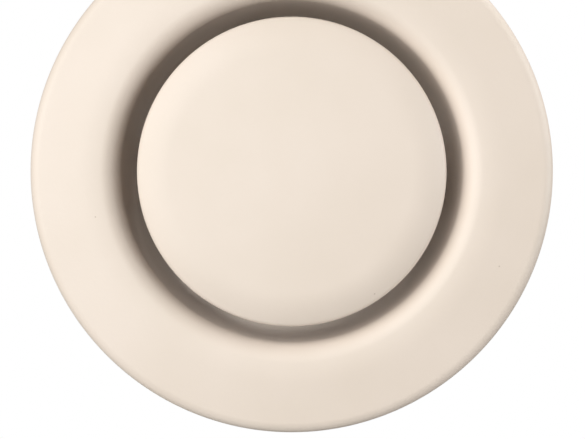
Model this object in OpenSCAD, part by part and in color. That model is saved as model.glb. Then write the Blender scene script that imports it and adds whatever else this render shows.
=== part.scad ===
// Disc valve for an extract duct: a domed disc in a pressed ring, on a screwed spindle,
// with the sleeve that stays in the wall. Millimetres.
// The axis is Y, the face looks along -Y and +Z is up. The origin is on the axis, in the wall's plane.
// Every section is drawn as [radius, depth], with depth 0 at the wall and more towards the room.

/* [Duct and sleeve] */
// Bore of the duct that the sleeve goes into
duct_d = 125; // [100:1:200]
// Play between the sleeve and the duct, each side
duct_play = 0.5; // [0.3:0.1:1]
// Length of the sleeve behind the wall
sleeve_len = 50; // [46:1:90]
// Thickness of the sleeve's sheet
sleeve_t = 0.9; // [0.6:0.1:1.2]
// Bend between the sleeve and its flange, on the wall side
sleeve_bend_r = 1.5; // [1:0.1:3]
// Holes for the screws in the sleeve's flange
screw_count = 3; // [2:1:6]
// Diameter of a screw hole
screw_hole_d = 4.5; // [3:0.1:5.5]
// Depth of the rolled groove for the seal
groove_depth = 2.4; // [1.8:0.1:3]
// Width of the groove's floor
groove_w = 5; // [4:0.1:7]
// Slope of the groove's sides, off the axis, in degrees
groove_slope = 55; // [45:1:70]
// Distance from the groove to the sleeve's far end
groove_back = 5; // [3:0.5:12]
// Taper at the sleeve's far end, for pushing it into the duct
lead_in = 0.8; // [0:0.1:1.5]

/* [Lip seal] */
// Thickness of the band in the groove
seal_base_t = 1.2; // [0.8:0.1:1.6]
// Thickness of each lip
seal_lip_t = 0.7; // [0.5:0.1:1]
// How far the lips stand out of the sleeve when the duct presses them down
seal_proud = 0.15; // [0.1:0.01:0.2]

/* [Valve ring] */
// Width of the flange, from the crest of the lip to the rim
flange_w = 23.9; // [20:0.1:34]
// Fall of the flange from its crest towards the rim, in degrees
flange_tilt = 11; // [6:1:16]
// Radius of the crest where the flange begins to fall
crest_blend_r = 40; // [20:1:55]
// Radius of the rim that is rolled back to the wall
rim_r = 4.5; // [3:0.1:6]
// Straight edge of the rim, down to the wall
rim_h = 0.9; // [0.5:0.1:4]
// Radius of the lip round the throat
lip_r = 6.7; // [4:0.1:9]
// Slope of the funnel behind the lip, off the axis, in degrees
funnel_tilt = 8; // [6.5:0.5:14]
// How much wider the throat is at the lip than at the neck, each side
throat_flare = 3.4; // [2:0.1:4.3]
// Radius of the bend from funnel to neck
neck_bend_r = 30; // [10:1:40]
// Depth of the neck behind the wall
neck_len = 33; // [30:1:42]
// Thickness of the ring's sheet
ring_t = 0.9; // [0.7:0.1:1.2]
// Room for the spring clips between neck and sleeve
clip_room = 6.6; // [5:0.1:9]

/* [Foam gasket] */
// Width of the foam behind the flange
gasket_w = 6; // [4:0.1:8]
// Room between the sleeve's flange and the foam
gasket_room = 2.5; // [1:0.1:4]

/* [Disc] */
// Gap between the disc's edge and the neck, each side
disc_gap = 2.3; // [1.5:0.1:6]
// How far the disc's edge stands in front of the lip's crest
disc_proud = 1; // [-4:0.1:6]
// Radius of the dome in the middle
dome_r = 385; // [300:1:600]
// Radius of the shoulder round the dome
shoulder_r = 24; // [18:0.5:30]
// Tilt of the shoulder where it meets the rolled edge, in degrees
edge_tilt = 32; // [26:1:38]
// Radius of the rolled edge
hem_r = 2.4; // [1.6:0.1:3]
// Thickness of the disc's sheet
disc_t = 0.8; // [0.6:0.1:1.2]

/* [Disc hub] */
// Depth of the hat behind the disc
hub_h = 9; // [8:0.5:12]
// Inner radius of the hat
hub_in_r = 11; // [10:0.5:14]
// Outer radius of the hat's welded flange
hub_flange_r = 20; // [18:0.5:26]
// Thickness of the hat's sheet
hub_t = 1.5; // [1:0.1:2]
// Bends of the hat, on the inside
hub_bend_r = 1.5; // [1:0.1:3]

/* [Spindle and nuts] */
// Diameter of the spindle's thread
thread_d = 8; // [6:1:8]
// Advance of the thread in one turn
thread_pitch = 1.25; // [1:0.05:1.5]
// Width across the flats of the hexagons
hex_w = 13; // [12:0.5:14]
// Height of the bolt's head
head_h = 5.3; // [4:0.1:6]
// Height of the nut behind the hub
nut_h = 6.5; // [5:0.1:7]
// Height of the thin lock nut
lock_nut_h = 4; // [3:0.1:6]
// Outer diameter of the washers
washer_d = 16; // [15:0.5:18]
// Thickness of the washers
washer_t = 1.6; // [1:0.1:2]
// Turns that the disc can be opened from where it is set
turns_out = 6; // [3:1:7]
// Turns that the lock nut is backed off to free the spindle
turns_nut = 2; // [1:1:3]
// Thickness of the clip on the spindle's end
end_clip_t = 0.9; // [0.6:0.1:1.2]
// Outer diameter of that clip
end_clip_d = 13.2; // [12:0.1:16]
// Width of that clip's ring
end_clip_w = 1.8; // [1.2:0.1:2]
// Depth of its groove in the spindle
clip_groove = 0.7; // [0.5:0.05:1]
// Length of the spindle behind its groove
spindle_tail = 2; // [1.5:0.1:6]

/* [Bridge] */
// Width of the strip across the neck
bridge_w = 22; // [21:0.5:28]
// Thickness of the strip
bridge_t = 1.5; // [1.2:0.1:2]
// Height of the feet on the neck's wall, above the bends
foot_h = 8; // [7:0.5:11]
// Height of the strip's turned edges
edge_h = 4; // [3:0.5:6]
// Bends between the strip and its feet, on the inside
bridge_bend_r = 1.5; // [1:0.1:4]
// Distance from the strip to the end of the neck
bridge_inset = 0.5; // [0:0.1:2]
// Outer radius of the bush's barrel
bush_r = 6; // [5.5:0.1:6.5]
// Outer radius of the bush's flange
bush_flange_r = 8.5; // [7.5:0.1:8.8]
// Height of the bush's flange
bush_flange_h = 2.5; // [1.5:0.1:4]
// Length of the barrel behind the strip
bush_tail = 1.5; // [1:0.1:3]
// How far the barrel's end is swaged out over the strip
bush_swage = 0.8; // [0.4:0.1:1]

/* [Spring clips and rivets] */
// Number of spring clips round the neck
clip_count = 3; // [2:1:6]
// Width of a clip
clip_w = 12; // [8:0.5:16]
// Thickness of a clip
clip_t = 0.5; // [0.3:0.1:0.8]
// Height of a clip's foot on the neck
clip_foot_h = 8; // [7:0.5:10]
// Distance from a clip's foot to the end of the neck
clip_inset = 1; // [0.5:0.1:3]
// Lean of a clip's leaf off the neck, in degrees
clip_lean = 35; // [30:1:45]
// Bend between a clip's foot and its leaf
clip_bend_r = 3; // [1.5:0.1:4]
// Radius of the crown that touches the sleeve
clip_crown_r = 2.5; // [1.5:0.1:4]
// Length of the tip beyond the crown
clip_tip = 4; // [2:0.1:5]
// Play between a clip and the sleeve
clip_play = 0.3; // [0.2:0.05:0.6]
// Diameter of the rivets
rivet_d = 3.2; // [2.4:0.1:4]
// Diameter of the rivets' heads
rivet_head_d = 6; // [5:0.1:7]
// Height of the rivets' heads
rivet_head_h = 1; // [0.6:0.1:1.4]

/* [Hidden] */
CLIPS = [for (i = [1:clip_count]) str("spring_clip_", i)];
CLIP_RIVETS = [for (i = [1:clip_count]) str("clip_rivet_", i)];
$fn = 96;

PAINT = "#ece2d4";
ZINC = "#b9bec2";
STEEL = "#8f9499";
FOAM = "#4a4c4e";
RUBBER = "#26282a";

// Longest straight piece of an arc, in degrees and in length
arc_step = 6;
arc_piece = 5;
// Room between pieces that are pressed, glued or welded together
seat = 0.05;
// Running room between the thread and what it turns in, each side
thread_play = 0.05;
// Room between the thread and a washer or a plain hole, each side
hole_play = 0.25;
// Room between the end clip and the backed-off lock nut, with the disc fully out
end_room = 0.6;
// Room in the spindle's groove, in front of the end clip and behind it
groove_play = 0.1;
// Room between the foam and the sheet that it is glued to
glue = 0.1;
// Sheet left between the foam and the round of the rim
gasket_edge = 0.5;
groove_side = groove_depth / tan(groove_slope);
groove_floor_z = -sleeve_len + groove_back + groove_side;

// Radii, from the duct inwards
sleeve_r = duct_d / 2 - duct_play;
sleeve_in_r = sleeve_r - sleeve_t;
neck_out_r = sleeve_in_r - clip_room;
neck_r = neck_out_r - ring_t;
disc_r = neck_r - disc_gap;
throat_r = neck_r + throat_flare;
crest_r = throat_r + lip_r * cos(funnel_tilt);
ring_r = crest_r + flange_w;
rim_start_r = ring_r - rim_r + rim_r * sin(flange_tilt);
gasket_out_r = ring_r - rim_r - gasket_edge;
gasket_in_r = gasket_out_r - gasket_w;
sleeve_flange_r = gasket_in_r - gasket_room;
screw_circle_r = (sleeve_r + sleeve_bend_r + sleeve_flange_r) / 2;
thread_r = thread_d / 2;

// Depths of the ring's face
rim_start_z = rim_h + rim_r * cos(flange_tilt);
blend_end_r = crest_r + crest_blend_r * sin(flange_tilt);
blend_end_z = rim_start_z + (rim_start_r - blend_end_r) * tan(flange_tilt);
crest_z = blend_end_z + crest_blend_r * (1 - cos(flange_tilt));
lip_end_z = crest_z - lip_r * (1 - sin(funnel_tilt));
neck_bend_start_r = neck_r + neck_bend_r * (1 - cos(funnel_tilt));
neck_bend_z = lip_end_z - (throat_r - neck_bend_start_r) / tan(funnel_tilt)
    - neck_bend_r * sin(funnel_tilt);

// Centres and angles of the disc's arcs
edge_z = crest_z + disc_proud;
hem_c = [disc_r - hem_r, edge_z];
shoulder_c = hem_c - (shoulder_r - hem_r) * [sin(edge_tilt), cos(edge_tilt)];
dome_tilt = asin(shoulder_c.x / (dome_r - shoulder_r));
dome_c = shoulder_c - (dome_r - shoulder_r) * [sin(dome_tilt), cos(dome_tilt)];

// Depths along the spindle, from the disc to its far end
disc_back_z = dome_c.y + dome_r - disc_t;
hub_plate_z = disc_back_z - hub_h;
hub_washer_z = hub_plate_z - hub_t - washer_t;
hub_nut_z = hub_washer_z - nut_h;
web_back_z = -neck_len + bridge_inset;
web_z = web_back_z + bridge_t;
foot_top_z = web_z + bridge_bend_r + foot_h;
bush_front_z = web_z + bush_flange_h;
bush_back_z = web_back_z - bush_tail;
lock_washer_z = bush_back_z - washer_t;
lock_nut_z = lock_washer_z - lock_nut_h;
end_clip_z = lock_nut_z - (turns_nut + turns_out) * thread_pitch - end_room - end_clip_t;
spindle_end_z = end_clip_z - spindle_tail;
clip_groove_r = thread_r - clip_groove;
foot_rivet_z = foot_top_z - foot_h / 2;
clip_foot_z = -neck_len + clip_inset;
clip_rivet_z = clip_foot_z + clip_foot_h / 2;

// Points along an arc about a centre, from one angle to another
function arc(c, r, from, to) =
    let (turn = abs(to - from), n = ceil(max(2, turn / arc_step, r * turn * PI / 180 / arc_piece)))
    [for (i = [0:n]) c + r * [cos(from + (to - from) * i / n), sin(from + (to - from) * i / n)]];

// A path without the points that repeat the one before
function chain(p) = [for (i = [0:len(p) - 1]) if (i == 0 || norm(p[i] - p[i - 1]) > 0.01) p[i]];

// Direction to the right of the path's piece that starts at point i
function right_of(p, i) = let (v = (p[i + 1] - p[i]) / norm(p[i + 1] - p[i])) [v.y, -v.x];

// The same at a corner, long enough to keep the distance on both pieces
function corner(p, i) =
    i == 0 ? right_of(p, 0)
    : i == len(p) - 1 ? right_of(p, i - 1)
    : let (a = right_of(p, i - 1), b = right_of(p, i)) (a + b) / (1 + a * b);

// The line at distance d to the right of a path, from its end to its start
function beside(p, d) =
    [for (i = [len(p) - 1:-1:0]) let (q = p[i] + d * corner(p, i)) [max(0, q.x), q.y]];

// Section of a sheet whose one face follows a path, with its thickness to the right
module sheet(p, t) {
    polygon(concat(p, beside(p, t)));
}

// Turns a part from its section's axis to the valve's axis
module facing_room() {
    rotate([90, 0, 0]) children();
}

// A strip of a turned shape, as wide as w, that runs out along one side of the axis
module strip_along_x(w, both = false) {
    back = both ? -ring_r : 0;
    intersection() {
        rotate_extrude() children();
        translate([back, -w / 2, -2 * sleeve_len]) cube([ring_r - back, w, 3 * sleeve_len]);
    }
}

// A hexagon with its corners turned off, standing on depth 0
module hexagon(w, h) {
    corner_r = w / 2 / cos(30);
    cut = (corner_r - w / 2) * tan(30);
    intersection() {
        cylinder(r = corner_r, h = h, $fn = 6);
        rotate_extrude()
            polygon([
                [0, 0], [w / 2, 0], [corner_r, cut], [corner_r, h - cut], [w / 2, h], [0, h]
            ]);
    }
}

module hex_nut(h) {
    difference() {
        hexagon(hex_w, h);
        translate([0, 0, -1]) cylinder(r = thread_r + thread_play, h = h + 2);
    }
}

module washer() {
    difference() {
        cylinder(d = washer_d, h = washer_t);
        translate([0, 0, -1]) cylinder(r = thread_r + hole_play, h = washer_t + 2);
    }
}

// A rivet along X from the inside of a wall at radius r_in to its outside at r_out
module rivet(r_in, r_out) {
    head_r = rivet_head_d / 2;
    start = sqrt(r_in * r_in - head_r * head_r) - seat;
    rotate([0, 90, 0])
        rotate_extrude()
            polygon([
                [0, start - rivet_head_h], [head_r * 0.7, start - rivet_head_h],
                [head_r, start - rivet_head_h * 0.4], [head_r, start],
                [rivet_d / 2, start], [rivet_d / 2, r_out + seat],
                [head_r, r_out + seat], [head_r, r_out + rivet_head_h * 0.4],
                [head_r * 0.7, r_out + rivet_head_h], [0, r_out + rivet_head_h]
            ]);
}

// The hole for a rivet, along X at depth z
module rivet_hole(z) {
    translate([0, 0, z]) rotate([0, 90, 0]) cylinder(d = rivet_d + 2 * seat, h = ring_r);
}

// Angle of spring clip i; none is in line with the bridge
function clip_angle(i) = 90 + (i - 1 + (clip_count % 4 == 0 ? 0.5 : 0)) * 360 / clip_count;

// Face of the ring: neck, funnel, lip, crest, flange and rim
ring_face = chain(concat(
    [[neck_r, -neck_len]],
    arc([neck_r + neck_bend_r, neck_bend_z], neck_bend_r, 180, 180 - funnel_tilt),
    arc([crest_r, crest_z - lip_r], lip_r, 180 - funnel_tilt, 90),
    arc([crest_r, crest_z - crest_blend_r], crest_blend_r, 90, 90 - flange_tilt),
    arc([ring_r - rim_r, rim_h], rim_r, 90 - flange_tilt, 0),
    [[ring_r, 0]]
));

// Depth of the flange's back at a radius on its straight slope
function flange_back_z(r) = rim_start_z + (rim_start_r - r) * tan(flange_tilt) - ring_t / cos(flange_tilt);

// Depth of the dome's back at a radius
function dome_back_z(r) = dome_c.y + sqrt(pow(dome_r - disc_t, 2) - r * r);

module mounting_sleeve() {
    outside = chain(concat(
        [[sleeve_flange_r, 0]],
        arc([sleeve_r + sleeve_bend_r, -sleeve_bend_r], sleeve_bend_r, 90, 180),
        [
            [sleeve_r, groove_floor_z + groove_w + groove_side],
            [sleeve_r - groove_depth, groove_floor_z + groove_w],
            [sleeve_r - groove_depth, groove_floor_z],
            [sleeve_r, groove_floor_z - groove_side],
            [sleeve_r, -sleeve_len + groove_back / 2],
            [sleeve_r - lead_in, -sleeve_len]
        ]
    ));
    color(ZINC) facing_room()
        difference() {
            rotate_extrude() sheet(outside, sleeve_t);
            for (i = [0:screw_count - 1])
                rotate([0, 0, 90 + i * 360 / screw_count])
                    translate([screw_circle_r, 0, -1]) cylinder(d = screw_hole_d, h = sleeve_t + 2);
        }
}

module lip_seal() {
    floor_r = sleeve_r - groove_depth + seat;
    base_r = floor_r + seal_base_t;
    z0 = groove_floor_z + seat;
    z1 = z0 + groove_w - 2 * seat;
    tip_r = sleeve_r + seal_proud;
    lean = tip_r - base_r;
    root = 1.4 * seal_lip_t;
    // a lip from its root on the base at depth z, leaning towards the room
    function lip(z) = [
        [base_r, z + root], [tip_r, z + root + lean],
        [tip_r, z + root / 2 + lean], [base_r, z]
    ];
    color(RUBBER) facing_room()
        rotate_extrude()
            polygon(concat(
                [[floor_r, z0], [floor_r, z1], [base_r, z1]],
                lip(z1 - root - seal_lip_t / 2),
                lip(z0 + seal_lip_t / 2),
                [[base_r, z0]]
            ));
}

module valve_ring() {
    color(PAINT) facing_room()
        difference() {
            rotate_extrude() sheet(ring_face, ring_t);
            for (a = [0, 180]) rotate([0, 0, a]) rivet_hole(foot_rivet_z);
            for (i = [1:clip_count]) rotate([0, 0, clip_angle(i)]) rivet_hole(clip_rivet_z);
        }
}

module flange_gasket() {
    color(FOAM) facing_room()
        rotate_extrude()
            polygon([
                [gasket_in_r, 0], [gasket_out_r, 0],
                [gasket_out_r, flange_back_z(gasket_out_r) - glue],
                [gasket_in_r, flange_back_z(gasket_in_r) - glue]
            ]);
}

module bridge() {
    foot_r = neck_r - seat - bridge_t;
    face = chain(concat(
        [[0, web_z]],
        arc([foot_r - bridge_bend_r, web_z + bridge_bend_r], bridge_bend_r, -90, 0),
        [[foot_r, foot_top_z]]
    ));
    // the turned edges stop short of the feet, where the strip's corners meet the bends
    corner_x = sqrt(pow(foot_r - bridge_bend_r, 2) - pow(bridge_w / 2, 2));
    edge_x = corner_x - bridge_t;
    color(ZINC) facing_room()
        difference() {
            union() {
                strip_along_x(bridge_w, both = true) sheet(face, bridge_t);
                for (side = [-1, 1])
                    translate([0, side * (bridge_w - bridge_t) / 2 + bridge_t / 2, web_back_z])
                        rotate([90, 0, 0])
                            linear_extrude(bridge_t)
                                polygon([
                                    [-edge_x, 0], [edge_x, 0],
                                    [edge_x - edge_h, bridge_t + edge_h],
                                    [edge_h - edge_x, bridge_t + edge_h]
                                ]);
            }
            translate([0, 0, web_back_z - 1]) cylinder(r = bush_r + seat, h = bridge_t + 2);
            for (a = [0, 180]) rotate([0, 0, a]) rivet_hole(foot_rivet_z);
        }
}

module bridge_bush() {
    // the barrel's end is swaged over the back of the strip
    swage_r = bush_r + bush_swage;
    swage_z = web_back_z - bush_tail / 2;
    bore_r = thread_r + thread_play;
    color(STEEL) facing_room()
        rotate_extrude()
            polygon([
                [bore_r, bush_front_z], [bush_flange_r, bush_front_z], [bush_flange_r, web_z],
                [bush_r, web_z], [bush_r, web_back_z], [swage_r, web_back_z],
                [swage_r, swage_z], [bush_r, bush_back_z], [bore_r, bush_back_z]
            ]);
}

module bridge_rivet(side) {
    color(STEEL) facing_room()
        rotate([0, 0, side > 0 ? 0 : 180])
            translate([0, 0, foot_rivet_z]) rivet(neck_r - seat - bridge_t, neck_out_r);
}

module spring_clip(i) {
    foot_r = neck_out_r + seat;
    top_r = sleeve_in_r - clip_play - clip_t;
    bend_c = [foot_r + clip_bend_r, clip_foot_z + clip_foot_h];
    leaf_start = bend_c + clip_bend_r * [-cos(clip_lean), sin(clip_lean)];
    leaf_end_r = top_r - clip_crown_r * (1 - cos(clip_lean));
    leaf_end_z = leaf_start.y + (leaf_end_r - leaf_start.x) / tan(clip_lean);
    crown_c = [top_r - clip_crown_r, leaf_end_z + clip_crown_r * sin(clip_lean)];
    crown_end = crown_c + clip_crown_r * [cos(clip_lean), sin(clip_lean)];
    inside = chain(concat(
        [[foot_r, clip_foot_z]],
        arc(bend_c, clip_bend_r, 180, 180 - clip_lean),
        arc(crown_c, clip_crown_r, -clip_lean, clip_lean),
        [crown_end + clip_tip * [-sin(clip_lean), cos(clip_lean)]]
    ));
    color(STEEL) facing_room()
        rotate([0, 0, clip_angle(i)])
            difference() {
                strip_along_x(clip_w) sheet(inside, clip_t);
                rivet_hole(clip_rivet_z);
            }
}

module clip_rivet(i) {
    color(ZINC) facing_room()
        rotate([0, 0, clip_angle(i)])
            translate([0, 0, clip_rivet_z]) rivet(neck_r, neck_out_r + seat + clip_t);
}

module valve_disc() {
    front = chain(concat(
        arc(dome_c, dome_r, 90, 90 - dome_tilt),
        arc(shoulder_c, shoulder_r, 90 - dome_tilt, 90 - edge_tilt),
        arc(hem_c, hem_r, 90 - edge_tilt, -120)
    ));
    color(PAINT) facing_room()
        rotate_extrude() sheet(front, disc_t);
}

module disc_hub() {
    flare_r = hub_bend_r + hub_t;
    flange_start_r = hub_in_r + flare_r;
    inside = chain(concat(
        [[thread_r + hole_play, hub_plate_z]],
        arc([hub_in_r - hub_bend_r, hub_plate_z + hub_bend_r], hub_bend_r, -90, 0),
        arc([flange_start_r, dome_back_z(flange_start_r) - glue - flare_r], flare_r, 180, 90),
        [[hub_flange_r, dome_back_z(hub_flange_r) - glue]]
    ));
    color(ZINC) facing_room()
        rotate_extrude() sheet(inside, hub_t);
}

module spindle() {
    chamfer = clip_groove;
    groove_z = end_clip_z - groove_play;
    groove_end_z = end_clip_z + end_clip_t + groove_play;
    color(ZINC) facing_room() {
        translate([0, 0, hub_plate_z]) hexagon(hex_w, head_h);
        rotate_extrude()
            polygon([
                [0, spindle_end_z], [thread_r - chamfer, spindle_end_z],
                [thread_r, spindle_end_z + chamfer], [thread_r, groove_z],
                [clip_groove_r, groove_z], [clip_groove_r, groove_end_z],
                [thread_r, groove_end_z], [thread_r, hub_plate_z + head_h / 2],
                [0, hub_plate_z + head_h / 2]
            ]);
    }
}

module hub_washer() {
    color(STEEL) facing_room() translate([0, 0, hub_washer_z]) washer();
}

module hub_nut() {
    color(ZINC) facing_room() translate([0, 0, hub_nut_z]) hex_nut(nut_h);
}

module lock_washer() {
    color(STEEL) facing_room() translate([0, 0, lock_washer_z]) washer();
}

module lock_nut() {
    color(ZINC) facing_room() translate([0, 0, lock_nut_z]) hex_nut(lock_nut_h);
}

module spindle_end_clip() {
    rim_out_r = end_clip_d / 2;
    rim_in_r = rim_out_r - end_clip_w;
    lug_in_r = clip_groove_r + thread_play;
    lug_out_r = rim_out_r - end_clip_w / 2;
    lug_w = 0.9 * clip_groove_r;
    mouth = 1.7 * clip_groove_r;
    color(STEEL) facing_room()
        translate([0, 0, end_clip_z])
            linear_extrude(end_clip_t) {
                difference() {
                    circle(r = rim_out_r);
                    circle(r = rim_in_r);
                    translate([-mouth / 2, -2 * rim_out_r]) square([mouth, 2 * rim_out_r]);
                }
                for (a = [-20, 90, 200])
                    rotate([0, 0, a])
                        translate([lug_in_r, -lug_w / 2]) square([lug_out_r - lug_in_r, lug_w]);
            }
}

mounting_sleeve();
lip_seal();
valve_ring();
flange_gasket();
bridge();
bridge_bush();
bridge_rivet(-1);  // bridge_rivet_left
bridge_rivet(1);  // bridge_rivet_right
for (i = [1:clip_count]) {
    spring_clip(i);
    clip_rivet(i);
}
valve_disc();
disc_hub();
spindle();
hub_washer();
hub_nut();
lock_washer();
lock_nut();
spindle_end_clip();
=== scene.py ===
"""Looks of a disc valve for an extract duct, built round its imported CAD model.

The valve is a domed disc on a screwed spindle, in a pressed ring with a funnel throat, and a
galvanised sleeve holds the ring in the duct. Sizes are in millimetres and angles in degrees until
a mesh is made. Sections are (radius, depth) points, as in the CAD: depth is 0 in the wall's plane
and grows towards the room, so a point's Y in the row frame is minus its depth.
"""

import logging
import math
from collections.abc import Iterable
from dataclasses import dataclass, field
from enum import Enum
from typing import Any

import bmesh
import bpy
from mathutils import Matrix, Vector


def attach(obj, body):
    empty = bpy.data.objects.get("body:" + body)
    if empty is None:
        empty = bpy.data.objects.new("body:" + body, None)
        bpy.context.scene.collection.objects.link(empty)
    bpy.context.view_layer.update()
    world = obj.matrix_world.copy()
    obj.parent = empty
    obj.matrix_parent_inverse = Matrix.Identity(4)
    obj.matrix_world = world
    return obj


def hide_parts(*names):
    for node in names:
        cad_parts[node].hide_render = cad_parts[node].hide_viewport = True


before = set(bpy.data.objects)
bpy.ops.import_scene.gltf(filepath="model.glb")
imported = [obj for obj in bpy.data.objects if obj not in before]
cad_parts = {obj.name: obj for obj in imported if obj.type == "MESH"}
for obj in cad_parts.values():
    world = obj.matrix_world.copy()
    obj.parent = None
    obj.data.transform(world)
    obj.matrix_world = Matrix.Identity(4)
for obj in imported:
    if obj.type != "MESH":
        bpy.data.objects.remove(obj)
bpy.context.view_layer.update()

MM = 0.001
LOG = logging.getLogger("disc_valve")

Point = tuple[float, float]
Outline = list[Point]


class Body(Enum):
    """The CAD bodies that pieces ride on."""

    FRAME = "mounting_frame"
    INSERT = "insert"
    CLIP = "clip_carrier"
    DISC = "disc_rotor"
    WASHER = "washer_carrier"
    NUT = "nut_rotor"


class Slot(Enum):
    """The record's material slots."""

    PAINT = "painted_face"
    GALVANISED = "galvanised_sheet"
    PLATED = "plated_steel"
    SPRING = "spring_steel"
    RIVET = "rivet_metal"
    RUBBER = "seal_rubber"
    FOAM = "foam"


# Node helpers


def linear(hex_colour: str) -> tuple[float, float, float, float]:
    """Turns an sRGB hex colour to linear values.

    Args:
        hex_colour: Six hex digits with a leading hash.

    Returns:
        Linear red, green and blue, and an alpha of 1.
    """
    channels = [int(hex_colour[i : i + 2], 16) / 255 for i in (1, 3, 5)]
    values = [c / 12.92 if c <= 0.04045 else ((c + 0.055) / 1.055) ** 2.4 for c in channels]
    return (values[0], values[1], values[2], 1.0)


def per_mm(size: float) -> float:
    """Gives the texture scale at which one cell is size millimetres wide, in metre coordinates."""
    return 1 / (size * MM)


def add_node(
    tree: bpy.types.NodeTree, kind: str, inputs: dict[str | int, Any] | None = None, **settings: Any
) -> bpy.types.Node:
    """Adds a node with its settings, values and links.

    Args:
        tree: The node tree that gets the node.
        kind: The node's type name.
        inputs: Input names or numbers, each with a value or with the socket that feeds it.
        **settings: The node's own properties.

    Returns:
        The new node.
    """
    node = tree.nodes.new(kind)
    for name, value in settings.items():
        setattr(node, name, value)
    for name, value in (inputs or {}).items():
        if isinstance(value, bpy.types.NodeSocket):
            tree.links.new(value, node.inputs[name])
        else:
            node.inputs[name].default_value = value
    return node


@dataclass(frozen=True)
class Finish:
    """What every finish has: its name, its colour and how it answers light.

    Attributes:
        name: The material's name.
        colour: sRGB hex colour of the surface.
        roughness: Mean roughness of the surface.
        metallic: 1 for bare metal and 0 for anything else.
        ior: Index of refraction, left at Blender's own value on metal.
    """

    name: str
    colour: str
    roughness: float
    metallic: float = 0.0
    ior: float = 1.5

    def shader(self) -> tuple[bpy.types.Material, bpy.types.NodeTree, bpy.types.Node]:
        """Makes the bare material.

        Returns:
            The material, its node tree and its shader node, which holds the constant values.
        """
        material = bpy.data.materials.new(self.name)
        material.use_nodes = True
        tree = material.node_tree
        bsdf = tree.nodes["Principled BSDF"]
        bsdf.inputs["Metallic"].default_value = self.metallic
        bsdf.inputs["Roughness"].default_value = self.roughness
        if not self.metallic:
            bsdf.inputs["IOR"].default_value = self.ior
        return material, tree, bsdf

    def noise(
        self, tree: bpy.types.NodeTree, cell: float, detail: float = 2.0
    ) -> bpy.types.NodeSocket:
        """Adds noise whose waves are cell millimetres wide and gives its value socket."""
        place = add_node(tree, "ShaderNodeTexCoord")
        inputs = {"Vector": place.outputs["Object"], "Scale": per_mm(cell), "Detail": detail}
        return add_node(tree, "ShaderNodeTexNoise", inputs).outputs["Fac"]

    def tinted(
        self, tree: bpy.types.NodeTree, factor: bpy.types.NodeSocket, dark: str, light: str
    ) -> bpy.types.NodeSocket:
        """Mixes two sRGB colours by factor and gives the colour socket."""
        inputs = {0: factor, 6: linear(dark), 7: linear(light)}
        return add_node(tree, "ShaderNodeMix", inputs, data_type="RGBA").outputs[2]

    def ranged(
        self, tree: bpy.types.NodeTree, value: bpy.types.NodeSocket, low: Point, high: Point
    ) -> bpy.types.NodeSocket:
        """Maps a value so that low[0] gives low[1] and high[0] gives high[1]."""
        inputs = {"Value": value, 1: low[0], 2: high[0], 3: low[1], 4: high[1]}
        return add_node(tree, "ShaderNodeMapRange", inputs).outputs[0]

    def material(self) -> bpy.types.Material:
        """Makes the dressed material; each finish has its own."""
        raise NotImplementedError


@dataclass(frozen=True)
class PowderCoat(Finish):
    """Polyester powder, sprayed on pressed steel and baked: smooth, satin, with a faint orange peel.

    Attributes:
        peel: Width of the waves that the powder keeps as it melts together, in millimetres.
        grain: Width of the fine grain on top of them.
        speck_cell: Mean distance between specks of dust or uneven powder.
        speck: Radius of such a speck.
        cloud: Width of the faint clouds of thicker and thinner coat.
        shade: sRGB hex colour of the thinner coat.
        speck_colour: sRGB hex colour of a speck.
    """

    peel: float = 1.3
    grain: float = 0.42
    speck_cell: float = 14.0
    speck: float = 0.2
    cloud: float = 34.0
    shade: str = "#ead9ca"
    speck_colour: str = "#d0bcab"

    def material(self) -> bpy.types.Material:
        """Makes the paint: clouds and specks in its colour, peel and grain in its surface."""
        material, tree, bsdf = self.shader()
        cloud = self.ranged(tree, self.noise(tree, self.cloud), (0.3, 0.0), (0.7, 1.0))
        coat = self.tinted(tree, cloud, self.shade, self.colour)
        place = add_node(tree, "ShaderNodeTexCoord").outputs["Object"]
        cells = add_node(
            tree, "ShaderNodeTexVoronoi", {"Vector": place, "Scale": per_mm(self.speck_cell)}
        )
        near = self.ranged(
            tree,
            cells.outputs["Distance"],
            (self.speck / self.speck_cell, 1.0),
            (1.6 * self.speck / self.speck_cell, 0.0),
        )
        colour = add_node(
            tree, "ShaderNodeMix", {0: near, 6: coat, 7: linear(self.speck_colour)}, data_type="RGBA"
        )
        tree.links.new(colour.outputs[2], bsdf.inputs["Base Color"])
        grain = self.noise(tree, self.grain, 1.0)
        gloss = self.ranged(
            tree, grain, (0.3, self.roughness - 0.04), (0.7, self.roughness + 0.06)
        )
        tree.links.new(gloss, bsdf.inputs["Roughness"])
        # the peel breaks up the edge of each highlight, and the grain keeps it satin
        waves = add_node(
            tree,
            "ShaderNodeBump",
            {"Height": self.noise(tree, self.peel), "Distance": 0.035 * MM, "Strength": 1.0},
        )
        fine = add_node(
            tree,
            "ShaderNodeBump",
            {
                "Height": grain,
                "Distance": 0.012 * MM,
                "Strength": 1.0,
                "Normal": waves.outputs["Normal"],
            },
        )
        tree.links.new(fine.outputs["Normal"], bsdf.inputs["Normal"])
        return material


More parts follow.
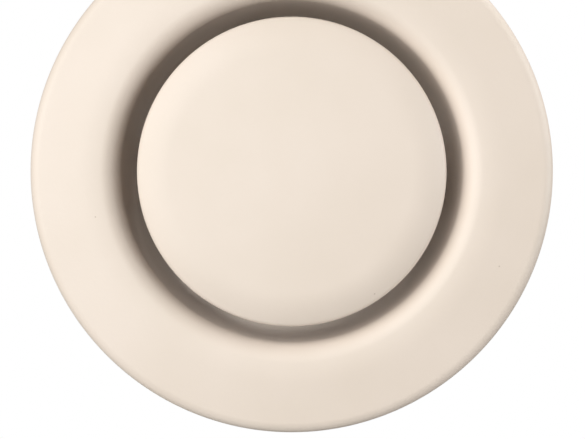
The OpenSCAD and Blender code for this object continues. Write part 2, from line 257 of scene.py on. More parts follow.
@dataclass(frozen=True)
class HotDipZinc(Finish):
    """Steel sheet, dipped in zinc: frozen crystals of different grey, with faint rolling lines.

    Attributes:
        spangle: Width of a zinc crystal, in millimetres.
        dark: sRGB hex colour of the dullest crystals.
        ripple: Width of the waves in the zinc.
    """

    spangle: float = 5.0
    dark: str = "#979ca0"
    ripple: float = 2.2

    def material(self) -> bpy.types.Material:
        """Makes the zinc: each crystal has a tone and a gloss of its own."""
        material, tree, bsdf = self.shader()
        place = add_node(tree, "ShaderNodeTexCoord").outputs["Object"]
        cells = add_node(
            tree,
            "ShaderNodeTexVoronoi",
            {"Vector": place, "Scale": per_mm(self.spangle), "Randomness": 1.0},
        )
        tone = add_node(tree, "ShaderNodeSeparateColor", {0: cells.outputs["Color"]}).outputs[0]
        tree.links.new(self.tinted(tree, tone, self.dark, self.colour), bsdf.inputs["Base Color"])
        gloss = self.ranged(tree, tone, (0.0, self.roughness + 0.1), (1.0, self.roughness - 0.06))
        tree.links.new(gloss, bsdf.inputs["Roughness"])
        bump = add_node(
            tree,
            "ShaderNodeBump",
            {"Height": self.noise(tree, self.ripple), "Distance": 0.03 * MM, "Strength": 1.0},
        )
        tree.links.new(bump.outputs["Normal"], bsdf.inputs["Normal"])
        return material


@dataclass(frozen=True)
class WorkedMetal(Finish):
    """Bare or thinly plated metal, cut or rolled: an even tone with a fine mottled gloss.

    Attributes:
        dark: sRGB hex colour of the duller patches.
        mottle: Width of the patches, in millimetres.
        scratch: Width of the fine marks of handling and tools.
    """

    dark: str = "#8d9195"
    mottle: float = 3.0
    scratch: float = 0.25

    def material(self) -> bpy.types.Material:
        """Makes the metal: patches of gloss, and marks that catch the light along edges."""
        material, tree, bsdf = self.shader()
        patch = self.ranged(tree, self.noise(tree, self.mottle, 4.0), (0.35, 0.0), (0.65, 1.0))
        tree.links.new(self.tinted(tree, patch, self.dark, self.colour), bsdf.inputs["Base Color"])
        gloss = self.ranged(tree, patch, (0.0, self.roughness + 0.08), (1.0, self.roughness - 0.05))
        tree.links.new(gloss, bsdf.inputs["Roughness"])
        bump = add_node(
            tree,
            "ShaderNodeBump",
            {"Height": self.noise(tree, self.scratch), "Distance": 0.006 * MM, "Strength": 1.0},
        )
        tree.links.new(bump.outputs["Normal"], bsdf.inputs["Normal"])
        return material


@dataclass(frozen=True)
class MouldedRubber(Finish):
    """Black EPDM, extruded and joined to a ring: matt, with a bloom of paler dust.

    Attributes:
        bloom: sRGB hex colour where the surface has dusted.
        patch: Width of the dusted patches, in millimetres.
        grain: Width of the grain that the die leaves.
    """

    bloom: str = "#3b3d3f"
    patch: float = 9.0
    grain: float = 0.35

    def material(self) -> bpy.types.Material:
        """Makes the rubber: dusted patches over a fine dull grain."""
        material, tree, bsdf = self.shader()
        patch = self.ranged(tree, self.noise(tree, self.patch, 3.0), (0.45, 0.0), (0.75, 1.0))
        tree.links.new(self.tinted(tree, patch, self.colour, self.bloom), bsdf.inputs["Base Color"])
        bump = add_node(
            tree,
            "ShaderNodeBump",
            {"Height": self.noise(tree, self.grain), "Distance": 0.03 * MM, "Strength": 1.0},
        )
        tree.links.new(bump.outputs["Normal"], bsdf.inputs["Normal"])
        return material


@dataclass(frozen=True)
class OpenCellFoam(Finish):
    """Cut polyether foam: dark grey, full of small open cells.

    Attributes:
        cell: Width of a cell, in millimetres, a little coarser than real so that it shows.
        pit_shade: sRGB hex colour painted in the middle of a cell, as shade in its hollow.
    """

    cell: float = 0.9
    pit_shade: str = "#222425"

    def material(self) -> bpy.types.Material:
        """Makes the foam: a painted shade darkens the hollow middle of each cell, with paler walls
        between them, and the same mask raises the walls in the bump.
        """
        material, tree, bsdf = self.shader()
        place = add_node(tree, "ShaderNodeTexCoord").outputs["Object"]
        cells = add_node(
            tree, "ShaderNodeTexVoronoi", {"Vector": place, "Scale": per_mm(self.cell)}
        )
        wall = self.ranged(tree, cells.outputs["Distance"], (0.15, 0.0), (0.65, 1.0))
        # the darker colour in the cells' middles is painted shade in the hollows, not a colour of the
        # foam
        tree.links.new(self.tinted(tree, wall, self.pit_shade, self.colour), bsdf.inputs["Base Color"])
        bump = add_node(
            tree, "ShaderNodeBump", {"Height": wall, "Distance": 0.25 * MM, "Strength": 1.0}
        )
        tree.links.new(bump.outputs["Normal"], bsdf.inputs["Normal"])
        return material


class Finishes:
    """The valve's materials, each made once.

    Attributes:
        paint: The off-white coat of the ring and the disc.
        galvanised: The sleeve's, bridge's and hub's sheet.
        plated: The bright plated spindle, nuts and washers.
        bush: The turned bush.
        spring: The rolled clips.
        rivet: The aluminium rivets.
        rubber: The lip seal.
        foam: The gasket.
    """

    def __init__(self) -> None:
        """Makes every material."""
        self.paint = PowderCoat("off_white_powder_coat", "#eeddcf", 0.45).material()
        self.galvanised = HotDipZinc("hot_dip_galvanised_sheet", "#bcc1c4", 0.42, 1.0).material()
        self.plated = WorkedMetal("bright_zinc_plate", "#c6cace", 0.26, 1.0).material()
        self.bush = WorkedMetal(
            "turned_steel", "#a9abab", 0.32, 1.0, dark="#7f8182", mottle=1.6
        ).material()
        self.spring = WorkedMetal(
            "rolled_stainless_strip", "#a5a8aa", 0.3, 1.0, dark="#85898c", mottle=5.0
        ).material()
        self.rivet = WorkedMetal(
            "satin_aluminium", "#d3d4d3", 0.38, 1.0, dark="#b3b5b5", mottle=1.2
        ).material()
        self.rubber = MouldedRubber("black_epdm_rubber", "#1f2021", 0.72, ior=1.52).material()
        self.foam = OpenCellFoam("open_cell_foam", "#4a4c4e", 0.95, ior=1.45).material()


# Sections


def along(centre: Point, radius: float, angle: float) -> Point:
    """Gives the point at an angle on a circle in the section's plane."""
    a = math.radians(angle)
    return (centre[0] + radius * math.cos(a), centre[1] + radius * math.sin(a))


def arc(centre: Point, radius: float, start: float, end: float, piece: float = 0.6) -> Outline:
    """Gives the points along an arc.

    Args:
        centre: The arc's centre.
        radius: Its radius.
        start: The angle where it starts.
        end: The angle where it ends.
        piece: The longest straight piece, in millimetres.

    Returns:
        The points, at least one every 5 degrees.
    """
    turn = abs(end - start)
    count = max(2, math.ceil(turn / 5), math.ceil(radius * math.radians(turn) / piece))
    return [along(centre, radius, start + (end - start) * i / count) for i in range(count + 1)]


def chained(*parts: Iterable[Point]) -> Outline:
    """Joins runs of points to one path, without those that repeat the one before."""
    path: Outline = []
    for part in parts:
        for point in part:
            if not path or math.dist(path[-1], point) > 1e-3:
                path.append(point)
    return path


def rounded(path: Outline, radius: float) -> Outline:
    """Turns the inner corners of an open path to small arcs.

    Args:
        path: The path's points.
        radius: The arcs' radius, less where the path's pieces are short.

    Returns:
        The path with each corner of more than 20 degrees rounded.
    """
    made: Outline = [path[0]]
    for before, here, after in zip(path, path[1:], path[2:]):
        a = (Vector(before) - Vector(here)).normalized()
        b = (Vector(after) - Vector(here)).normalized()
        half = a.angle(b) / 2
        if math.degrees(2 * half) > 160:
            made.append(here)
            continue
        room = min(math.dist(before, here), math.dist(here, after)) * 0.45
        reach = min(radius / math.tan(half), room)
        bow = reach * math.tan(half)
        centre = Vector(here) + (a + b).normalized() * math.hypot(reach, bow)
        first, last = Vector(here) + a * reach, Vector(here) + b * reach
        for i in range(7):
            spoke = (first - centre).lerp(last - centre, i / 6).normalized() * bow
            made.append(tuple(centre + spoke))
    return [*made, path[-1]]


def sheet(path: Outline, thickness: float) -> Outline:
    """Gives the closed section of a sheet.

    Args:
        path: The sheet's one face.
        thickness: Its thickness, to the right of the path.

    Returns:
        The path, and then the other face from its end to its start.
    """
    rights = []
    for a, b in zip(path, path[1:]):
        step = (Vector(b) - Vector(a)).normalized()
        rights.append(Vector((step.y, -step.x)))
    far = []
    for i, point in enumerate(path):
        a, b = rights[max(0, i - 1)], rights[min(i, len(rights) - 1)]
        far.append(Vector(point) + thickness * (a + b) / (1 + a.dot(b)))
    return [*path, *((max(0.0, p.x), p.y) for p in reversed(far))]


# Meshes


def in_row(x: float, across: float, depth: float) -> Vector:
    """Turns a point of the section's axes to the row frame, in metres."""
    return Vector((x, -depth, across)) * MM


def shaped(name: str, mesh: bmesh.types.BMesh, bevel: float = 0.0) -> bpy.types.Object:
    """Cleans a mesh, breaks its sharp edges, shades it smooth and puts it in the scene.

    Args:
        name: The piece's name.
        mesh: The mesh, which is used up.
        bevel: Width of the broken edges, in millimetres.

    Returns:
        The new object, at the origin.
    """
    bmesh.ops.remove_doubles(mesh, verts=mesh.verts, dist=1e-7)
    bmesh.ops.dissolve_degenerate(mesh, edges=mesh.edges, dist=1e-8)
    bmesh.ops.recalc_face_normals(mesh, faces=mesh.faces)
    if bevel:
        sharp = [e for e in mesh.edges if e.calc_face_angle(0.0) > math.radians(40)]
        bmesh.ops.bevel(
            mesh, geom=sharp, offset=bevel * MM, segments=2, profile=0.5, affect="EDGES",
            clamp_overlap=True,
        )
    data = bpy.data.meshes.new(name)
    mesh.to_mesh(data)
    mesh.free()
    data.shade_smooth()
    data.set_sharp_from_angle(angle=math.radians(38))
    piece = bpy.data.objects.new(name, data)
    bpy.context.scene.collection.objects.link(piece)
    return piece


def grid(columns: list[list[Vector]], closed: bool, looped: bool) -> bmesh.types.BMesh:
    """Makes a mesh of quads between columns of points.

    Args:
        columns: The columns, each with as many points.
        closed: Whether the last column joins the first.
        looped: Whether each column's last point joins its first.

    Returns:
        The mesh.
    """
    mesh = bmesh.new()
    made = [[mesh.verts.new(p) for p in column] for column in columns]
    pairs = list(zip(made, made[1:])) + ([(made[-1], made[0])] if closed else [])
    for left, right in pairs:
        steps = list(zip(range(len(left)), range(1, len(left))))
        steps += [(len(left) - 1, 0)] if looped else []
        for i, j in steps:
            mesh.faces.new((left[i], left[j], right[j], right[i]))
    return mesh


def turned(
    name: str, outline: Outline, segments: int = 256, bevel: float = 0.0, place: Matrix | None = None
) -> bpy.types.Object:
    """Turns a closed section about the valve's axis.

    Args:
        name: The piece's name.
        outline: The section's points.
        segments: Number of pieces round the axis.
        bevel: Width of the broken edges, in millimetres.
        place: Where the turned shape goes, in metres, if not on the valve's axis.

    Returns:
        The new object.
    """
    angles = [2 * math.pi * i / segments for i in range(segments)]
    columns = [
        [in_row(r * math.cos(a), r * math.sin(a), z) for r, z in outline] for a in angles
    ]
    mesh = grid(columns, closed=True, looped=True)
    if place is not None:
        bmesh.ops.transform(mesh, matrix=place, verts=mesh.verts)
    return shaped(name, mesh, bevel)


def dressed(
    piece: bpy.types.Object,
    finish: bpy.types.Material,
    body: Body,
    slot: Slot,
    *nodes: str,
) -> bpy.types.Object:
    """Gives a new piece its material and its body, and hides the CAD nodes that it stands for."""
    piece.data.materials.append(finish)
    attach(piece, body.value)
    if nodes:
        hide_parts(*nodes)
    LOG.info("%s: %d faces, on %s", piece.name, len(piece.data.polygons), body.value)
    return piece


def coat_node(finish: bpy.types.Material, *nodes: str) -> None:
    """Gives CAD nodes that stay in view their material."""
    for name in nodes:
        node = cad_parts[name]
        if not node.material_slots:
            node.data.materials.append(finish)
        for slot in node.material_slots:
            slot.material = finish
        LOG.info("%s: CAD node in %s", name, finish.name)


@dataclass
class Hexagon:
    """A hexagon with its corners turned off, as on a nut or a bolt's head.

    Attributes:
        across: Width across the flats.
        bore: Radius of the bore, or 0 on a bolt's head.
        mouth: Depth of the countersink at each end of the bore.
        segments: Number of pieces round the axis.
    """

    across: float = 13.0
    bore: float = 0.0
    mouth: float = 0.5
    segments: int = 144

    def build(self, name: str, low: float, high: float) -> bpy.types.Object:
        """Builds the hexagon between two depths.

        Args:
            name: The piece's name.
            low: Depth of its far face.
            high: Depth of its near face.

        Returns:
            The new object.
        """
        flat = self.across / 2
        face = 0.93 * flat
        columns = []
        for i in range(self.segments):
            turn = 360 * i / self.segments
            corner = flat / math.cos(math.radians((turn + 30) % 60 - 30))
            drop = max(0.0, corner - face) * math.tan(math.radians(30))
            inner = (
                [(0.0, high), (0.0, low)]
                if not self.bore
                else [
                    (self.bore + self.mouth, high),
                    (self.bore, high - self.mouth),
                    (self.bore, low + self.mouth),
                    (self.bore + self.mouth, low),
                ]
            )
            outer = [(face, low), (corner, low + drop), (corner, high - drop), (face, high)]
            a = math.radians(turn)
            columns.append(
                [in_row(r * math.cos(a), r * math.sin(a), z) for r, z in [*inner, *outer]]
            )
        return shaped(name, grid(columns, closed=True, looped=True))


# The valve's sub-assemblies


@dataclass
class MountingSleeve:
    """The galvanised tube that stays in the duct, and its lip seal.

    Attributes:
        radius: Outer radius of the tube.
        length: Length behind the wall.
        thickness: Thickness of the sheet.
        flange: Outer radius of the flange.
        bend: Radius of the bend behind the flange.
        groove_top: Depth of the groove's upper floor corner.
        groove_floor: Depth of its lower floor corner.
        groove_deep: How deep the groove is.
        groove_side: Length of its slanted sides along the axis.
        groove_back: Distance from the groove to the far end.
        lead_in: Taper at the far end.
        screw_circle: Radius of the circle of screw holes.
        screw_hole: Radius of a screw hole.
        screws: Number of screw holes.
    """

    radius: float = 62.0
    length: float = 50.0
    thickness: float = 0.9
    flange: float = 74.035
    bend: float = 1.5
    groove_top: float = -38.3195
    groove_floor: float = -43.3195
    groove_deep: float = 2.4
    groove_side: float = 1.6805
    groove_back: float = 5.0
    lead_in: float = 0.8
    screw_circle: float = 68.7675
    screw_hole: float = 2.25
    screws: int = 3

    def outside(self) -> Outline:
        """Gives the path of the sleeve's outer face, with the groove's corners rolled."""
        floor = self.radius - self.groove_deep
        wall = [
            (self.radius, self.groove_top + self.groove_side),
            (floor, self.groove_top),
            (floor, self.groove_floor),
            (self.radius, self.groove_floor - self.groove_side),
            (self.radius, -self.length + self.groove_back / 2),
            (self.radius - self.lead_in, -self.length),
        ]
        bend = arc((self.radius + self.bend, -self.bend), self.bend, 90, 180, 0.3)
        return chained([(self.flange, 0.0)], bend[:-1], rounded([bend[-1], *wall], 1.0))

    def build_tube(self, finishes: Finishes) -> None:
        """Builds the tube with its flange, and cuts the screw holes."""
        tube = turned("sleeve_tube", sheet(self.outside(), self.thickness), 288, 0.1)
        for i in range(self.screws):
            a = math.radians(90 + i * 360 / self.screws)
            centre = in_row(self.screw_circle * math.cos(a), self.screw_circle * math.sin(a), 0)
            cutter = turned(
                "screw_hole_cutter",
                [(0, -2), (self.screw_hole, -2), (self.screw_hole, 3), (0, 3)],
                48,
                place=Matrix.Translation(centre),
            )
            cut = tube.modifiers.new("screw_hole", "BOOLEAN")
            cut.object = cutter
            cut.solver = "EXACT"
            with bpy.context.temp_override(object=tube, active_object=tube):
                bpy.ops.object.modifier_apply(modifier=cut.name)
            bpy.data.objects.remove(cutter)
        tube.data.set_sharp_from_angle(angle=math.radians(38))
        dressed(tube, finishes.galvanised, Body.FRAME, Slot.GALVANISED, "mounting_sleeve")

    def build_seal(self, finishes: Finishes) -> None:
        """Builds the band in the groove with its two lips."""
        seat, base, lip = 0.05, 1.2, 0.7
        floor = self.radius - self.groove_deep + seat
        top = floor + base
        low, high = self.groove_floor + seat, self.groove_top - seat
        tip = self.radius + 0.15
        lean, root = tip - top, 1.4 * lip
        outline: Outline = [(floor, low), (floor, high), (top, high)]
        for start in (high - root - lip / 2, low + lip / 2):
            outline += [
                (top, start + root),
                (tip, start + root + lean),
                (tip, start + root / 2 + lean),
                (top, start),
            ]
        seal = turned("lip_seal_ring", [*outline, (top, low)], 256, 0.12)
        dressed(seal, finishes.rubber, Body.FRAME, Slot.RUBBER, "lip_seal")

    def build(self, finishes: Finishes) -> None:
        """Builds the sleeve and its seal."""
        self.build_tube(finishes)
        self.build_seal(finishes)


@dataclass
class ValveRing:
    """The pressed and painted ring: neck, funnel, lip, flange and rolled rim.

    Attributes:
        radius: Outer radius of the rim.
        thickness: Thickness of the sheet.
        rim: Radius of the rolled rim.
        rim_foot: Length of its straight edge.
        tilt: Fall of the flange.
        crest: Radius, from the axis, of the lip's crest.
        crest_depth: Depth of the crest.
        blend: Radius of the blend from crest to flange.
        lip: Radius of the lip round the throat.
        funnel: Slope of the funnel.
        neck: Inner radius of the neck.
        neck_bend: Radius of the bend from funnel to neck.
        neck_bend_depth: Depth of that bend's centre.
        neck_end: Depth of the neck's far end.
    """

    radius: float = 87.5348
    thickness: float = 0.9
    rim: float = 4.5
    rim_foot: float = 0.9
    tilt: float = 11.0
    crest: float = 63.6348
    crest_depth: float = 8.50654
    blend: float = 40.0
    lip: float = 6.7
    funnel: float = 8.0
    neck: float = 53.6
    neck_bend: float = 30.0
    neck_bend_depth: float = -23.5511
    neck_end: float = -33.0

    def face(self) -> Outline:
        """Gives the path of the painted face, from the neck's end to the rim's foot."""
        bend_centre = (self.neck + self.neck_bend, self.neck_bend_depth)
        flange_top = arc(
            (self.crest, self.crest_depth - self.blend), self.blend, 90, 90 - self.tilt
        )
        return chained(
            [(self.neck, self.neck_end)],
            arc(bend_centre, self.neck_bend, 180, 180 - self.funnel),
            arc((self.crest, self.crest_depth - self.lip), self.lip, 180 - self.funnel, 90, 0.3),
            flange_top,
            arc((self.radius - self.rim, self.rim_foot), self.rim, 90 - self.tilt, 0, 0.3),
            [(self.radius, 0.0)],
        )

    def build(self, finishes: Finishes) -> None:
        """Builds the ring and dresses the foam behind its flange."""
        ring = turned("painted_ring", sheet(self.face(), self.thickness), 320, 0.12)
        dressed(ring, finishes.paint, Body.INSERT, Slot.PAINT, "valve_ring")
        coat_node(finishes.foam, "flange_gasket")


@dataclass
class Bridge:
    """The strip across the neck, its rivets and the bush that the spindle turns in.

    Attributes:
        neck_in: Inner radius of the neck.
        neck_out: Outer radius of the neck.
        strip: Thickness of the strip.
        rivet_depth: Depth of the two rivets.
    """

    neck_in: float = 53.6
    neck_out: float = 54.5
    strip: float = 1.5
    rivet_depth: float = -25.5

    def build(self, finishes: Finishes) -> None:
        """Dresses the strip and the bush, and builds the rivets."""
        coat_node(finishes.galvanised, "bridge")
        coat_node(finishes.bush, "bridge_bush")
        for name, turn in (("bridge_rivet_left", 180.0), ("bridge_rivet_right", 0.0)):
            rivet = Rivet().build(
                f"{name}_domed", self.neck_in - self.strip - 0.05, self.neck_out, turn,
                self.rivet_depth,
            )
            dressed(rivet, finishes.rivet, Body.INSERT, Slot.RIVET, name)


@dataclass
class Rivet:
    """A domed rivet that runs radially through a wall.

    Attributes:
        shank: Radius of the shank.
        head: Radius of the heads.
        height: Height of the heads.
        seat: Room under the heads.
    """

    shank: float = 1.6
    head: float = 3.0
    height: float = 1.0
    seat: float = 0.05

    def build(
        self, name: str, inside: float, outside: float, turn: float, depth: float
    ) -> bpy.types.Object:
        """Builds the rivet.

        Args:
            name: The piece's name.
            inside: Radius of the wall's inner face.
            outside: Radius of its outer face.
            turn: Angle of the rivet round the valve's axis.
            depth: Depth of the rivet.

        Returns:
            The new object.
        """
        start = math.sqrt(inside**2 - self.head**2) - self.seat
        end = outside + self.seat
        bow = (self.head**2 + self.height**2) / (2 * self.height)
        open_angle = math.degrees(math.asin(self.head / bow))
        near = arc((0.0, start - self.height + bow), bow, -90, -90 + open_angle, 0.25)
        far = arc((0.0, end + self.height - bow), bow, 90 - open_angle, 90, 0.25)
        outline = chained(near, [(self.shank, start), (self.shank, end)], far)
        # the section's depth runs along -Y, and here it runs out along +X
        place = (
            Matrix.Translation(in_row(0.0, 0.0, depth))
            @ Matrix.Rotation(math.radians(-turn), 4, "Y")
            @ Matrix.Rotation(math.radians(90), 4, "Z")
        )
        return turned(name, outline, 48, place=place)


@dataclass
class SpringClips:
    """The leaf springs round the neck that grip the sleeve, and their rivets.

    Attributes:
        count: Number of clips.
        neck_in: Inner radius of the neck.
        neck_out: Outer radius of the neck.
        leaf: Thickness of a leaf.
        rivet_depth: Depth of the rivets.
    """

    count: int = 3
    neck_in: float = 53.6
    neck_out: float = 54.5
    leaf: float = 0.5
    rivet_depth: float = -28.0

    def build(self, finishes: Finishes) -> None:
        """Dresses the leaves and builds their rivets."""
        for i in range(1, self.count + 1):
            coat_node(finishes.spring, f"spring_clip_{i}")
            turn = 90 + (i - 1) * 360 / self.count
            rivet = Rivet().build(
                f"clip_rivet_{i}_domed", self.neck_in, self.neck_out + 0.05 + self.leaf, turn,
                self.rivet_depth,
            )
            dressed(rivet, finishes.rivet, Body.INSERT, Slot.RIVET, f"clip_rivet_{i}")


@dataclass
class Spindle:
    """The M8 bolt that carries the disc: head, thread and grooved tail.

    Attributes:
        head_low: Depth of the head's bearing face.
        head_height: Height of the head.
        major: Outer radius of the thread.
        pitch: Advance of the thread in one turn.
        tail_top: Depth where the thread runs out.
        end: Depth of the spindle's far end.
        groove: Radius of the groove for the end clip.
        groove_low: Depth of the groove's far side.
        groove_high: Depth of its near side.
        segments: Number of pieces round one turn.
    """

    head_low: float = 7.33687
    head_height: float = 5.3
    major: float = 4.0
    pitch: float = 1.25
    tail_top: float = -49.2
    end: float = -53.1
    groove: float = 3.3
    groove_low: float = -51.2
    groove_high: float = -50.1
    segments: int = 48

    def thread(self) -> bmesh.types.BMesh:
        """Makes the thread as one helical strip, flattened at both ends."""
        minor = self.major - 0.6134 * self.pitch
        # across one pitch: crest flat, flank, root flat, flank
        profile = [(0.0, self.major), (0.125, self.major), (0.5, minor), (0.625, minor)]
        low, high = self.tail_top, self.head_low
        first = math.floor(low / self.pitch) - 2
        last = math.ceil(high / self.pitch) + 2
        columns = []
        for i in range(self.segments + 1):
            share = i / self.segments
            a = 2 * math.pi * share
            column = []
            for turn in range(first, last):
                for step, r in profile:
                    # clockwise seen from the face drives the disc in, as on a right-hand thread
                    z = (turn + step - share) * self.pitch
                    r = r if low < z < high else minor
                    z = min(max(z, low), high)
                    column.append(in_row(r * math.cos(a), r * math.sin(a), z))
            columns.append(column)
        return grid(columns, closed=False, looped=False)

    def build(self, finishes: Finishes) -> None:
        """Builds the spindle from its head, its thread and its tail."""
        head = Hexagon().build("spindle_head", self.head_low, self.head_low + self.head_height)
        thread = shaped("spindle_thread", self.thread())
        minor = self.major - 0.6134 * self.pitch
        chamfer = 0.7
        tail = turned(
            "spindle_tail",
            [
                (0.0, self.end),
                (self.major - chamfer, self.end),
                (self.major, self.end + chamfer),
                (self.major, self.groove_low),
                (self.groove, self.groove_low),
                (self.groove, self.groove_high),
                (self.major, self.groove_high),
                (self.major, self.tail_top - 0.3),
                (minor, self.tail_top),
                (0.0, self.tail_top),
            ],
            96,
            0.08,
        )
        dressed(head, finishes.plated, Body.DISC, Slot.PLATED, "spindle")
        dressed(thread, finishes.plated, Body.DISC, Slot.PLATED)
        dressed(tail, finishes.plated, Body.DISC, Slot.PLATED)


@dataclass
class Disc:
    """The painted disc, its hub and what clamps the hub to the spindle.

    Attributes:
        radius: Outer radius of the rolled edge.
        edge_depth: Depth of the edge's widest line.
        thickness: Thickness of the sheet.
        hem: Radius of the rolled edge.
        hem_end: Angle where the rolled edge ends.
        shoulder: Radius of the shoulder.
        shoulder_tilt: Tilt where the shoulder meets the rolled edge.
        dome: Radius of the dome.
        nut_low: Depth of the hub nut's far face.
        nut_height: Its height.
        washer: Thickness of the washer; not used, as the washer keeps its own thickness.
        spindle: The spindle.
    """

    radius: float = 51.3
    edge_depth: float = 9.50654
    thickness: float = 0.8
    hem: float = 2.4
    hem_end: float = -120.0
    shoulder: float = 24.0
    shoulder_tilt: float = 32.0
    dome: float = 385.0
    nut_low: float = -2.26313
    nut_height: float = 6.5
    washer: float = 1.6
    spindle: Spindle = field(default_factory=Spindle)

    def face(self) -> Outline:
        """Gives the path of the painted face, from the axis to the end of the rolled edge."""
        hem_centre = (self.radius - self.hem, self.edge_depth)
        lean = math.radians(self.shoulder_tilt)
        reach = self.shoulder - self.hem
        shoulder_centre = (
            hem_centre[0] - reach * math.sin(lean),
            hem_centre[1] - reach * math.cos(lean),
        )
        dome_tilt = math.asin(shoulder_centre[0] / (self.dome - self.shoulder))
        dome_centre = (0.0, shoulder_centre[1] - (self.dome - self.shoulder) * math.cos(dome_tilt))
        flat = 90 - math.degrees(dome_tilt)
        return chained(
            arc(dome_centre, self.dome, 90, flat, 1.0),
            arc(shoulder_centre, self.shoulder, flat, 90 - self.shoulder_tilt, 0.4),
            arc(hem_centre, self.hem, 90 - self.shoulder_tilt, self.hem_end, 0.2),
        )

    def build(self, finishes: Finishes) -> None:
        """Builds the disc, its nut and its washer, and dresses its hub."""
        disc = turned("painted_disc", sheet(self.face(), self.thickness), 256, 0.12)
        dressed(disc, finishes.paint, Body.DISC, Slot.PAINT, "valve_disc")
        coat_node(finishes.galvanised, "disc_hub")
        self.spindle.build(finishes)
        nut = Hexagon(bore=4.02).build("hub_nut_turned", self.nut_low, self.nut_low + self.nut_height)
        dressed(nut, finishes.plated, Body.DISC, Slot.PLATED, "hub_nut")
        seat = self.nut_low + self.nut_height
        Washer().build("hub_washer_pressed", seat, finishes, Body.DISC, "hub_washer")


@dataclass
class Washer:
    """A pressed steel washer.

    Attributes:
        bore: Radius of its hole.
        radius: Its outer radius.
        thickness: Its thickness.
    """

    bore: float = 4.25
    radius: float = 8.0
    thickness: float = 1.6

    def build(self, name: str, low: float, finishes: Finishes, body: Body, node: str) -> None:
        """Builds the washer from depth low on, and dresses it.

        Args:
            name: The piece's name.
            low: Depth of its far face.
            finishes: The valve's materials.
            body: The body that it rides on.
            node: The CAD node that it stands for.
        """
        high = low + self.thickness
        outline = [(self.bore, low), (self.bore, high), (self.radius, high), (self.radius, low)]
        washer = turned(name, outline, 96, 0.2)
        dressed(washer, finishes.plated, body, Slot.PLATED, node)


@dataclass
class Locking:
    """The lock nut and washer behind the bridge, and the clip on the spindle's end.

    Attributes:
        nut_low: Depth of the nut's far face.
        nut_height: Its height.
    """

    nut_low: float = -39.6
    nut_height: float = 4.0

    def build(self, finishes: Finishes) -> None:
        """Builds the nut and the washer, and dresses the clip."""
        top = self.nut_low + self.nut_height
        nut = Hexagon(bore=4.02).build("lock_nut_turned", self.nut_low, top)
        dressed(nut, finishes.plated, Body.NUT, Slot.PLATED, "lock_nut")
        Washer().build("lock_washer_pressed", top, finishes, Body.WASHER, "lock_washer")
        coat_node(finishes.spring, "spindle_end_clip")


# The studio


@dataclass(frozen=True)
class Lamp:
    """A soft light, far off.

    Attributes:
        name: The light's name.
        angle: Its angle from the valve's axis, seen from the valve.
        turn: Its place round the axis, counter-clockwise from the right as the camera sees it.
        strength: Its strength.
        softness: The angle that it fills in the sky.
        colour: sRGB hex colour of its light.
    """

    name: str
    angle: float
    turn: float
    strength: float
    softness: float
    colour: str = "#fbffff"

    def build(self) -> None:
        """Hangs the light in its direction, turned to the valve."""
        away, turn = math.radians(self.angle), math.radians(self.turn)
        towards = Vector(
            (math.sin(away) * math.cos(turn), -math.cos(away), math.sin(away) * math.sin(turn))
        )
        data = bpy.data.lights.new(self.name, "SUN")
        data.energy = self.strength
        data.color = linear(self.colour)[:3]
        data.angle = math.radians(self.softness)
        light = bpy.data.objects.new(self.name, data)
        light.rotation_euler = towards.to_track_quat("Z", "Y").to_euler()
        light.location = towards
        bpy.context.scene.collection.objects.link(light)


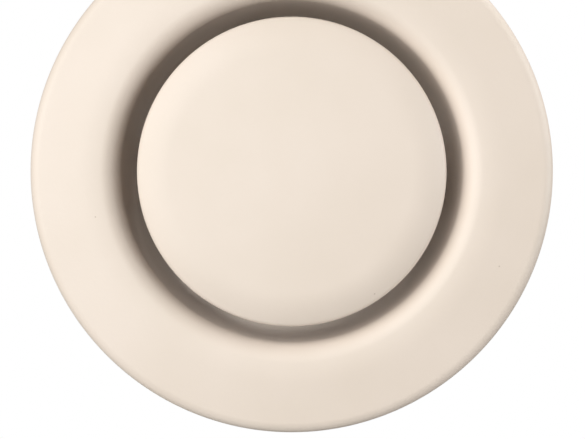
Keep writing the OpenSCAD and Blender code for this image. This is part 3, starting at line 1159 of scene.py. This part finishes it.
@dataclass
class Studio:
    """The camera, the light and the floor.

    Attributes:
        image: Width and height of the picture, in pixels.
        rim_radius: Radius of the ring's outline, in millimetres.
        rim_depth: Depth of that outline.
        rim_pixels: Its radius in the picture.
        centre: Where the middle of that outline lies, in pixels from the upper left corner.
        lens: Focal length, on a sensor of 36 mm.
        lamps: The lights.
        sky: Strength of the surround's light, seen level.
        sky_rise: Share that it gains towards straight up, and loses towards straight down.
        floor_drop: How far the floor lies below the valve's axis, in metres.
        floor_radius: Radius of the floor, in metres.
    """

    image: tuple[int, int] = (585, 439)
    rim_radius: float = 87.5348
    rim_depth: float = 0.9
    rim_pixels: float = 260.97
    centre: Point = (291.74, 171.74)
    lens: float = 132.1
    lamps: tuple[Lamp, ...] = (
        Lamp("wide_key_light", 38.0, 164.0, 3.4, 75.0),
        Lamp("side_light", 85.0, 8.0, 1.9, 50.0),
        Lamp("rear_light", 108.0, 60.0, 1.6, 20.0),
    )
    sky: float = 0.1
    sky_rise: float = 1.0
    floor_drop: float = 1.4
    floor_radius: float = 1.0

    def build_camera(self) -> None:
        """Puts the camera on the valve's axis, as far off as the ring's size in the picture says."""
        data = bpy.data.cameras.new("view_of_the_face")
        data.lens, data.sensor_width = self.lens, 36.0
        focal = self.lens / data.sensor_width * self.image[0]
        distance = focal * self.rim_radius / self.rim_pixels
        camera = bpy.data.objects.new("view_of_the_face", data)
        camera.location = in_row(0.0, 0.0, distance + self.rim_depth)
        down = math.atan((self.image[1] / 2 - self.centre[1]) / focal)
        left = math.atan((self.centre[0] - self.image[0] / 2) / focal)
        camera.rotation_euler = (math.pi / 2 - down, 0.0, left)
        bpy.context.scene.collection.objects.link(camera)
        bpy.context.scene.camera = camera

    def build_lights(self) -> None:
        """Hangs the lamps in a surround that the camera sees as white."""
        for lamp in self.lamps:
            lamp.build()
        world = bpy.data.worlds.new("white_surround")
        world.use_nodes = True
        tree = world.node_tree
        tree.nodes.clear()
        way = add_node(
            tree, "ShaderNodeSeparateXYZ", {0: add_node(tree, "ShaderNodeTexCoord").outputs["Generated"]}
        )
        low, high = self.sky * (1 - self.sky_rise), self.sky * (1 + self.sky_rise)
        glow = add_node(
            tree, "ShaderNodeMapRange", {"Value": way.outputs["Z"], 1: -1.0, 2: 1.0, 3: low, 4: high}
        )
        path = add_node(tree, "ShaderNodeLightPath")
        strength = add_node(
            tree, "ShaderNodeMix", {0: path.outputs["Is Camera Ray"], 2: glow.outputs[0], 3: 1.0}
        )
        back = add_node(
            tree, "ShaderNodeBackground", {"Color": linear("#ffffff"), "Strength": strength.outputs[0]}
        )
        add_node(tree, "ShaderNodeOutputWorld", {"Surface": back.outputs[0]})
        bpy.context.scene.world = world
        bpy.context.scene.view_settings.view_transform = "Standard"

    def build_floor(self) -> None:
        """Lays a pale floor well below the valve, which fades out towards its edge."""
        mesh = bmesh.new()
        bmesh.ops.create_circle(mesh, cap_ends=True, segments=96, radius=self.floor_radius)
        data = bpy.data.meshes.new("studio_floor")
        mesh.to_mesh(data)
        mesh.free()
        floor = bpy.data.objects.new("studio_floor", data)
        floor.location = (0.0, 0.0, -self.floor_drop)
        bpy.context.scene.collection.objects.link(floor)
        material = bpy.data.materials.new("pale_paper_floor")
        material.use_nodes = True
        tree = material.node_tree
        bsdf = tree.nodes["Principled BSDF"]
        bsdf.inputs["Roughness"].default_value = 0.9
        place = add_node(tree, "ShaderNodeTexCoord").outputs["Object"]
        tone = add_node(tree, "ShaderNodeTexNoise", {"Vector": place, "Scale": 3.0})
        colour = add_node(
            tree,
            "ShaderNodeMix",
            {0: tone.outputs["Fac"], 6: linear("#f4f3f1"), 7: linear("#faf9f7")},
            data_type="RGBA",
        )
        tree.links.new(colour.outputs[2], bsdf.inputs["Base Color"])
        away = add_node(tree, "ShaderNodeVectorMath", {0: place}, operation="LENGTH")
        fade = add_node(
            tree,
            "ShaderNodeMapRange",
            {
                "Value": away.outputs["Value"],
                1: 0.35 * self.floor_radius,
                2: self.floor_radius,
                3: 1.0,
                4: 0.0,
            },
        )
        tree.links.new(fade.outputs[0], bsdf.inputs["Alpha"])
        data.materials.append(material)

    def build(self) -> None:
        """Builds the whole studio."""
        self.build_camera()
        self.build_lights()
        self.build_floor()


def main() -> None:
    """Builds the studio and the valve."""
    logging.basicConfig(level=logging.INFO, format="%(message)s")
    Studio().build()
    finishes = Finishes()
    for part in (MountingSleeve(), ValveRing(), Bridge(), SpringClips(), Disc(), Locking()):
        LOG.info("%s", type(part).__name__)
        part.build(finishes)


if __name__ == "__main__":
    main()
